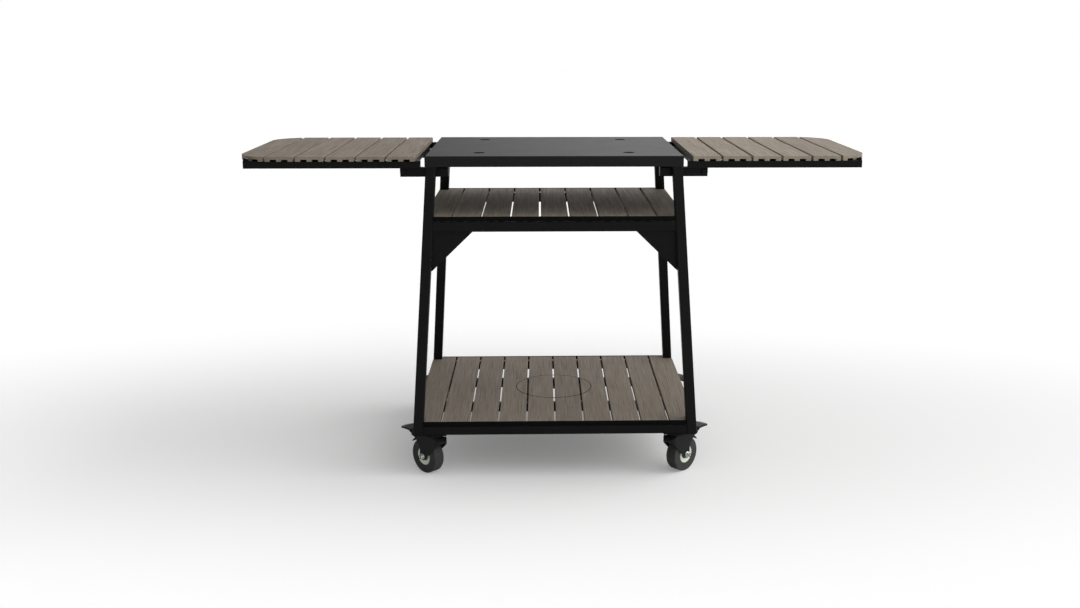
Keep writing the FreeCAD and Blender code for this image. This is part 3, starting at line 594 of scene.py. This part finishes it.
@dataclass(frozen=True)
class FloorShade:
    """A painted shadow on the floor, a soft oval darker in its middle: its middle, how far it reaches, how
    deep it is.
    """

    middle: tuple[float, float]
    reach: tuple[float, float]
    depth: float

    def tone(self, tree: bpy.types.NodeTree, place: bpy.types.NodeSocket) -> bpy.types.NodeSocket:
        """Add the shade to a material.

        Args:
            tree: The floor's node tree.
            place: Socket with the place on the floor.

        Returns:
            Socket with the level, from 1 less the depth in the middle up to 1.
        """
        centred = add_node(
            tree, "ShaderNodeMapping", {"vector_type": "TEXTURE"}, Vector=place,
            Location=(*self.middle, 0), Scale=(*self.reach, 1),
        )
        reach = add_node(tree, "ShaderNodeVectorMath", {"operation": "LENGTH"}, in0=centred.outputs[0])
        level = add_node(
            tree, "ShaderNodeMapRange", {"interpolation_type": "SMOOTHERSTEP"}, in0=reach.outputs["Value"],
            in3=1.0 - self.depth, in4=1.0,
        )
        return level.outputs["Result"]


@dataclass
class Studio:
    """A pale floor that runs out to white, soft light mostly from the right, and the photograph's camera."""

    floor_size: float = 60.0
    floor_colour: str = "#ffffff"
    floor_lift: float = 0.265
    # Painted shadows on the floor: a wide one round the table and a deeper one under it.
    wide_shade: FloorShade = FloorShade(middle=(-0.05, 0.15), reach=(3.4, 1.5), depth=0.2)
    under_shade: FloorShade = FloorShade(middle=(-0.02, -0.12), reach=(0.65, 0.36), depth=0.22)
    sky_colour: str = "#ffffff"
    sky_light: float = 0.36
    sky_side: float = 0.7
    # What gloss reflects: brightest towards the tilt, and never below the least.
    sky_tilt: tuple[float, float, float] = (3.0, 0.2, 0.1)
    sky_top: float = 1.15
    sky_middle: float = 0.55
    sky_least: float = 0.15
    lamps: tuple[SoftLamp, ...] = (
        SoftLamp("key_light", power=1.4, width=60.0, place=(0.82, 0.06, 0.57)),
        SoftLamp("side_light", power=0.8, width=90.0, place=(0.62, -0.68, 0.38)),
        SoftLamp("fill_light", power=0.2, width=60.0, place=(-0.5, 0.6, 0.62)),
    )
    image_width: int = 1080
    image_height: int = 608
    focal_px: float = 1151.9
    centre_px: tuple[float, float] = (569.22, 310.78)
    camera_place: tuple[float, float, float] = (-39.06 * MM, -3395.4 * MM, 1242.0 * MM)
    # The camera's angles are radians.
    camera_yaw: float = 0.0254
    camera_pitch: float = 0.2427
    camera_roll: float = 0.0009
    sensor_mm: float = 36.0

    def build(self) -> None:
        """Set up the world, the floor, the lamps and the camera."""
        self._world()
        self._floor()
        for lamp in self.lamps:
            lamp.build()
        self._camera()
        view = bpy.context.scene.view_settings
        view.view_transform = "Standard"

    def _world(self) -> None:
        """Soft light from all round, white to the eye and brighter on the right to everything else."""
        world = bpy.data.worlds.new("studio_world")
        bpy.context.scene.world = world
        world.use_nodes = True
        tree = world.node_tree
        path = add_node(tree, "ShaderNodeLightPath")
        seen = add_node(
            tree, "ShaderNodeMath", {"operation": "MAXIMUM"},
            in0=path.outputs["Is Camera Ray"], in1=path.outputs["Is Transmission Ray"],
        )
        towards = add_node(tree, "ShaderNodeTexCoord").outputs["Generated"]
        tilt = add_node(
            tree, "ShaderNodeVectorMath", {"operation": "DOT_PRODUCT"}, in0=towards, in1=self.sky_tilt,
        )
        shown = add_node(
            tree, "ShaderNodeMapRange", in0=tilt.outputs["Value"], in1=self.sky_least - self.sky_middle,
            in2=1.0 - self.sky_middle, in3=self.sky_least, in4=self.sky_top,
        )
        side = add_node(tree, "ShaderNodeSeparateXYZ", Vector=towards).outputs["X"]
        spread = add_node(
            tree, "ShaderNodeMapRange", in0=side, in1=-1.0, in2=1.0,
            in3=self.sky_light * (1.0 - self.sky_side), in4=self.sky_light * (1.0 + self.sky_side),
        )
        glossy = add_node(
            tree, "ShaderNodeMapRange", in0=path.outputs["Is Glossy Ray"],
            in3=spread.outputs["Result"], in4=shown.outputs["Result"],
        )
        level = add_node(
            tree, "ShaderNodeMapRange", in0=seen.outputs[0], in3=glossy.outputs["Result"], in4=1.0,
        )
        back = tree.nodes["Background"]
        back.inputs["Color"].default_value = linear(self.sky_colour)
        tree.links.new(level.outputs["Result"], back.inputs["Strength"])

    def _floor(self) -> None:
        """A wide flat floor whose own colour is lifted to white where nothing shades it, with painted shadows
        round and under the table.
        """
        bpy.ops.mesh.primitive_plane_add(size=self.floor_size, location=(0, 0, 0))
        floor = bpy.context.active_object
        floor.name = "studio_floor"
        material, tree, shader = new_material("studio_floor")
        tree.nodes.remove(shader)
        place = add_node(tree, "ShaderNodeTexCoord").outputs["Object"]
        tone = add_node(
            tree, "ShaderNodeMath", {"operation": "MULTIPLY"},
            in0=self.wide_shade.tone(tree, place), in1=self.under_shade.tone(tree, place),
        ).outputs[0]
        own = linear(self.floor_colour)[:3]
        colour = add_node(tree, "ShaderNodeVectorMath", {"operation": "SCALE"}, in0=own, Scale=tone)
        diffuse = add_node(tree, "ShaderNodeBsdfDiffuse", Color=colour.outputs[0])
        path = add_node(tree, "ShaderNodeLightPath")
        lift = add_node(
            tree, "ShaderNodeMath", {"operation": "MULTIPLY"},
            in0=path.outputs["Is Camera Ray"], in1=self.floor_lift,
        )
        lifted = add_node(tree, "ShaderNodeMath", {"operation": "MULTIPLY"}, in0=lift.outputs[0], in1=tone)
        glow = add_node(tree, "ShaderNodeEmission", Strength=lifted.outputs[0])
        total = add_node(tree, "ShaderNodeAddShader", in0=diffuse.outputs[0], in1=glow.outputs[0])
        tree.links.new(total.outputs[0], tree.nodes["Material Output"].inputs["Surface"])
        floor.data.materials.append(material)

    def _camera(self) -> None:
        """The camera at the place and angle worked out from the photograph."""
        data = bpy.data.cameras.new("photo_camera")
        data.sensor_width = self.sensor_mm
        data.lens = self.focal_px / self.image_width * self.sensor_mm
        data.shift_x = (self.image_width / 2 - self.centre_px[0]) / self.image_width
        data.shift_y = (self.centre_px[1] - self.image_height / 2) / self.image_width
        camera = bpy.data.objects.new("photo_camera", data)
        ahead = Vector((
            math.sin(self.camera_yaw) * math.cos(self.camera_pitch),
            math.cos(self.camera_yaw) * math.cos(self.camera_pitch),
            -math.sin(self.camera_pitch),
        ))
        turn = ahead.to_track_quat("-Z", "Y").to_matrix().to_4x4()
        roll = Matrix.Rotation(self.camera_roll, 4, "Z")
        camera.matrix_world = Matrix.Translation(self.camera_place) @ turn @ roll
        bpy.context.scene.collection.objects.link(camera)
        bpy.context.scene.camera = camera


@dataclass
class SteelFrame:
    """The welded frame, its arms and the folded top, all powder coated."""

    nodes: tuple[str, ...] = (
        "top_side_rail_right", "top_side_rail_left", "mid_rail_front", "mid_rail_rear", "mid_rail_left",
        "mid_rail_right", "bottom_rail_front", "bottom_rail_rear", "bottom_rail_left", "bottom_rail_right",
        "bottom_cross_rail_front", "bottom_cross_rail_rear", "gussets", "support_arms", "leaf_frame_left",
        "leaf_frame_right", "disc_strap", "caster_plates", "pivot_bolts",
    )
    strips: tuple[str, ...] = ("mid_edge_strips", "bottom_edge_strips")
    # Middles of the round marks in the top, and the height of their floors.
    mark_x: float = 208 * MM
    mark_y: float = 187 * MM
    mark_floor: float = 899.2 * MM
    pad_sides: int = 40
    pad_outline: Profile = (
        (15.2, 0), (15.6, 0.2), (15.6, 0.45), (15.1, 0.7), (12.5, 0.75), (12.1, 0.45), (1.0, 0.45),
    )

    def dress(self) -> None:
        """Coat every tube, plate and leg."""
        coat = PowderCoat().make()
        for node in (*self.nodes, *(f"leg_{corner.label}" for corner in Corner)):
            dress(node, coat)
        top = PowderCoat(name="powder_coat_top", roughness=0.45, gloss=0.19, unevenness=0.012)
        dress("table_top", top.make())
        # Painted shade: the edge strips get a darker, duller copy of the frame's coat, for the dark line of
        # shade along them.
        strip = PowderCoat(name="strip_coat", colour="#070707", worn="#0b0b0b", roughness=0.55, gloss=0.05)
        strip_coat = strip.make()
        for node in self.strips:
            dress(node, strip_coat)
        dress("caster_plate_bolts", ZincSteel().make())

    def add_foot_pads(self) -> None:
        """Thin rubber pads in the four marks, for the feet of the oven."""
        rubber = Moulded("pad_rubber", "#191919", "#101010", roughness=0.9, grain_mm=0.6, gloss=0.02).make()
        pattern = turned_piece("foot_pad", self.pad_sides, self.pad_outline)
        for corner in Corner:
            across, along = corner.value
            place = Vector((across * self.mark_x, along * self.mark_y, self.mark_floor))
            pad = copy_to(pattern, f"foot_pad_{corner.label}", Matrix.Translation(place))
            hand_over(pad, rubber, "frame")
        bpy.data.objects.remove(pattern)


@dataclass
class Boards:
    """The boards of the leaves and of both shelves, with their packers, screws, and a black ring of painted
    shade in the gap round the disc.
    """

    board_width: float = 75 * MM
    leaf_row_count: int = 5
    mid_row_count: int = 7
    bottom_row_count: int = 8
    # Painted light and shade: how bright each set of boards is against the board's own colours, set for how
    # lit each set looks, the right leaf brighter than the left.
    levels: tuple[tuple[str, float], ...] = (("right", 1.5), ("left", 1.1), ("mid", 1.45), ("bottom", 1.08))
    # Middle of the leaves' front and rear rails, and how tall these are.
    rail_middle: float = 256 * MM
    rail_height: float = 20 * MM
    # The hollows under a board lie this far out from its inner edge.
    hollow_middles: tuple[float, float] = (22 * MM, 53 * MM)
    packer_size: tuple[float, float, float] = (17.4 * MM, 10 * MM, 5.3 * MM)
    packer_bevel: float = 0.6 * MM
    packer_bevel_steps: int = 2
    packer_gap: float = 0.1 * MM
    packer_y: float = 252 * MM
    # The packers at the rails' outer ends are narrower and longer than the others.
    end_packer_x: float = 835.2 * MM
    end_packer_scale: tuple[float, float] = (0.55, 1.75)
    screw_sides: int = 20
    screw_head: Profile = ((4.2, 0), (4.2, 0.15), (3.9, 0.4), (2.2, 0.45), (1.9, 0.2), (0.5, 0.15))
    # The ring of painted shade in the gap round the lift-out disc.
    ring_radius: float = 114.9 * MM
    ring_thickness: float = 1.9 * MM
    ring_sink: float = 0.7 * MM
    ring_sides: int = 120
    ring_section_sides: int = 10

    def dress(self) -> None:
        """Give each set of boards a grain that changes from board to board, and its level of painted light
        and shade.
        """
        levels = dict(self.levels)
        for side, _, first, pitch in self._leaf_rows():
            finish = CompositeBoard(
                f"leaf_board_{side}", pitch, first - (pitch - self.board_width) / 2,
                mirrored=side == "left", level=levels[side],
            ).make()
            dress(f"leaf_slats_{side}", finish)
            dress(f"leaf_end_slat_{side}", finish)
        for shelf, count in (("mid", self.mid_row_count), ("bottom", self.bottom_row_count)):
            low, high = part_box(f"{shelf}_slats")
            pitch = self._pitch(low, high, count)
            start = low.x - (pitch - self.board_width) / 2
            finish = CompositeBoard(f"{shelf}_board", pitch, start, level=levels[shelf]).make()
            for node in (f"{shelf}_slats", f"{shelf}_end_slat_right", f"{shelf}_end_slat_left"):
                dress(node, finish)
            if shelf == "bottom":
                dress("disc_slats", finish)
        cleat = CompositeBoard(
            "cleat_board", pitch=1.0, first_edge=-0.5, light="#5b4231", middle="#4a3426", dark="#33241b",
        )
        dress("disc_cleats", cleat.make())

    def add_packers(self) -> None:
        """Rubber packers between the leaves' rails and the hollows under their boards."""
        finish = Moulded("packer_rubber", "#141414", "#0d0d0d", roughness=0.85, grain_mm=0.6, gloss=0.05)
        rubber = finish.make()
        pattern = self._packer_pattern()
        slim = Matrix.Diagonal((*self.end_packer_scale, 1.0, 1.0))
        for side, sign, first, pitch in self._leaf_rows():
            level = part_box(f"leaf_frame_{side}")[1].z + self.packer_size[2] / 2 + self.packer_gap
            across = [
                first + pitch * i + hollow
                for i in range(self.leaf_row_count) for hollow in self.hollow_middles
            ]
            across.append(first + pitch * self.leaf_row_count + self.hollow_middles[0])
            pieces = [
                copy_to(pattern, "packer", Matrix.Translation((sign * x, front * self.packer_y, level)))
                for x in across for front in (1, -1)
            ]
            for front in (1, -1):
                end = Matrix.Translation((sign * self.end_packer_x, front * self.rail_middle, level))
                pieces.append(copy_to(pattern, "end_packer", end @ slim))
            hand_over(join(f"leaf_packers_{side}", pieces), rubber, f"leaf_{side}")
        bpy.data.objects.remove(pattern)

    def add_screws(self) -> None:
        """Flat screws let into the underside of the leaves' rails, one below each board."""
        zinc = ZincSteel(name="screw_zinc").make()
        pattern = turned_piece("screw", self.screw_sides, self.screw_head)
        down = Matrix.Rotation(math.pi, 4, "X")
        for side, sign, first, pitch in self._leaf_rows():
            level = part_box(f"leaf_frame_{side}")[1].z - self.rail_height
            middle = first + self.board_width / 2
            across = [middle + pitch * i for i in range(self.leaf_row_count + 1)]
            places = [(sign * x, front * self.rail_middle, level) for x in across for front in (1, -1)]
            pieces = [copy_to(pattern, "screw", Matrix.Translation(place) @ down) for place in places]
            hand_over(join(f"leaf_screws_{side}", pieces), zinc, f"leaf_{side}")
        bpy.data.objects.remove(pattern)

    def add_seam_ring(self) -> None:
        """A black ring in the gap round the lift-out disc: painted shade that draws the dark circle of the
        gap in the bottom shelf.
        """
        # Painted shade: a matte black ring stands in for the shade in the gap round the disc.
        finish = Moulded("edging_rubber", "#121212", "#0b0b0b", roughness=0.85, grain_mm=0.6, gloss=0.05)
        rubber = finish.make()
        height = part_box("disc_slats")[1].z - self.ring_sink
        bpy.ops.object.select_all(action="DESELECT")
        bpy.ops.mesh.primitive_torus_add(
            major_radius=self.ring_radius, minor_radius=self.ring_thickness / 2,
            major_segments=self.ring_sides, minor_segments=self.ring_section_sides, location=(0, 0, height),
        )
        ring = bpy.context.active_object
        ring.name = "disc_edging"
        bpy.ops.object.transform_apply(location=True, rotation=True, scale=True)
        hand_over(ring, rubber, "bottle_disc")

    def _packer_pattern(self) -> bpy.types.Object:
        """Model one packer at the origin.

        Returns:
            The packer, out of edit mode.
        """
        bpy.ops.object.select_all(action="DESELECT")
        bpy.ops.mesh.primitive_cube_add(size=1)
        pattern = bpy.context.active_object
        bpy.ops.transform.resize(value=self.packer_size)
        bpy.ops.object.transform_apply(location=True, rotation=True, scale=True)
        bpy.ops.object.mode_set(mode="EDIT")
        bpy.ops.mesh.select_all(action="SELECT")
        bpy.ops.mesh.bevel(offset=self.packer_bevel, segments=self.packer_bevel_steps)
        bpy.ops.object.mode_set(mode="OBJECT")
        return pattern

    def _leaf_rows(self) -> list[tuple[str, int, float, float]]:
        """Measure the rows of whole boards of both leaves.

        Returns:
            For each leaf its side, the sign of its X, its first board's inner edge and its pitch.
        """
        rows = []
        for side, sign in (("right", 1), ("left", -1)):
            low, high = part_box(f"leaf_slats_{side}")
            first = min(abs(low.x), abs(high.x))
            rows.append((side, sign, first, self._pitch(low, high, self.leaf_row_count)))
        return rows

    def _pitch(self, low: Vector, high: Vector, count: int) -> float:
        """Distance from one board to the next in a row of a known count."""
        return (high.x - low.x - self.board_width) / (count - 1)


@dataclass
class Casters:
    """The four casters, with a domed nut on both ends of each axle."""

    # From the wheel's middle to the foot of a nut.
    nut_start: float = 21 * MM
    flat_count: int = 6
    round_sides: int = 28
    flange: Profile = ((8.4, 0), (8.4, 0.9), (7.9, 1.3))
    flats: Profile = ((7.75, 0.2), (7.75, 5.7), (7.1, 6.45))
    dome: Profile = (
        (5.4, 5.8), (5.4, 7.6), (5.15, 8.5), (4.55, 9.3), (3.6, 10.0), (2.4, 10.4), (0.9, 10.6),
    )

    def dress(self) -> None:
        """Coat the forks and pedals, and give the wheels their rubber and plastic."""
        fork = PowderCoat(name="fork_coat", colour="#161616", worn="#1b1b1b", roughness=0.34, gloss=0.14)
        pedal = PowderCoat(name="pedal_coat", colour="#1b1b1b", worn="#242424", roughness=0.4)
        tyre = Moulded("tyre_rubber", "#3e3e3e", "#353535", roughness=0.72, grain_mm=0.6, gloss=0.25)
        hub = Moulded("hub_plastic", "#eaf3e2", "#dbe5d3", roughness=0.32, grain_mm=0.8)
        core = Moulded("core_plastic", "#1d1e1d", "#141414", roughness=0.45, grain_mm=0.8)
        finishes = (
            ("caster_fork", fork), ("brake_pedal", pedal), ("tyre", tyre), ("wheel_hub", hub),
            ("wheel_core", core),
        )
        for part, finish in finishes:
            material = finish.make()
            for corner in Corner:
                dress(f"{part}_{corner.label}", material)

    def add_nuts(self) -> None:
        """Zinc-plated domed nuts over the plain ones of the axles."""
        zinc = ZincSteel(name="bright_zinc", colour="#f0f0ec", shade="#dcdcd6", roughness=0.34).make()
        pattern = join("nut_pattern", [
            turned_piece("nut_ring", self.flat_count, self.flats),
            turned_piece("nut_ring", self.round_sides, self.flange),
            turned_piece("nut_ring", self.round_sides, self.dome),
        ])
        for corner in Corner:
            joint = next(item for item in FRAME["joints"] if item["name"] == f"wheel_{corner.label}_spin")
            centre = Vector(joint["pos_m"])
            for side, label in ((1, "outer"), (-1, "inner")):
                axis = Vector(joint["axis"]).normalized() * side
                level = Vector((0, 0, 1)).cross(axis)
                turn = Matrix((level.cross(axis), level, axis)).transposed().to_4x4()
                place = Matrix.Translation(centre + axis * self.nut_start) @ turn
                nut = copy_to(pattern, f"axle_nut_{corner.label}_{label}", place)
                hand_over(nut, zinc, f"caster_{corner.label}")
        bpy.data.objects.remove(pattern)


def main() -> None:
    """Dress the frame, add the fittings and set up the studio."""
    logging.basicConfig(level=logging.INFO)
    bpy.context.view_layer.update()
    bpy.ops.object.select_all(action="DESELECT")
    frame, boards, casters = SteelFrame(), Boards(), Casters()
    for section in (frame, boards, casters):
        section.dress()
        LOG.info("dressed %s", type(section).__name__)
    frame.add_foot_pads()
    boards.add_packers()
    boards.add_screws()
    boards.add_seam_ring()
    casters.add_nuts()
    Studio().build()


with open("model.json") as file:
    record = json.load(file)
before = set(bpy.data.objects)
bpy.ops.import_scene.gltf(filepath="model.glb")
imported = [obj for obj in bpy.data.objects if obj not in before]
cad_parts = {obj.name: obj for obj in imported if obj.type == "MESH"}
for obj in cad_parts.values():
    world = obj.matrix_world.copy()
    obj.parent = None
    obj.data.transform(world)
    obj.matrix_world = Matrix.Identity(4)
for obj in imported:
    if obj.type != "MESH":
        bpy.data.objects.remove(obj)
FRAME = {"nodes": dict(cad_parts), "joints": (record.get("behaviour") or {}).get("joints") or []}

if __name__ == "__main__":
    main()
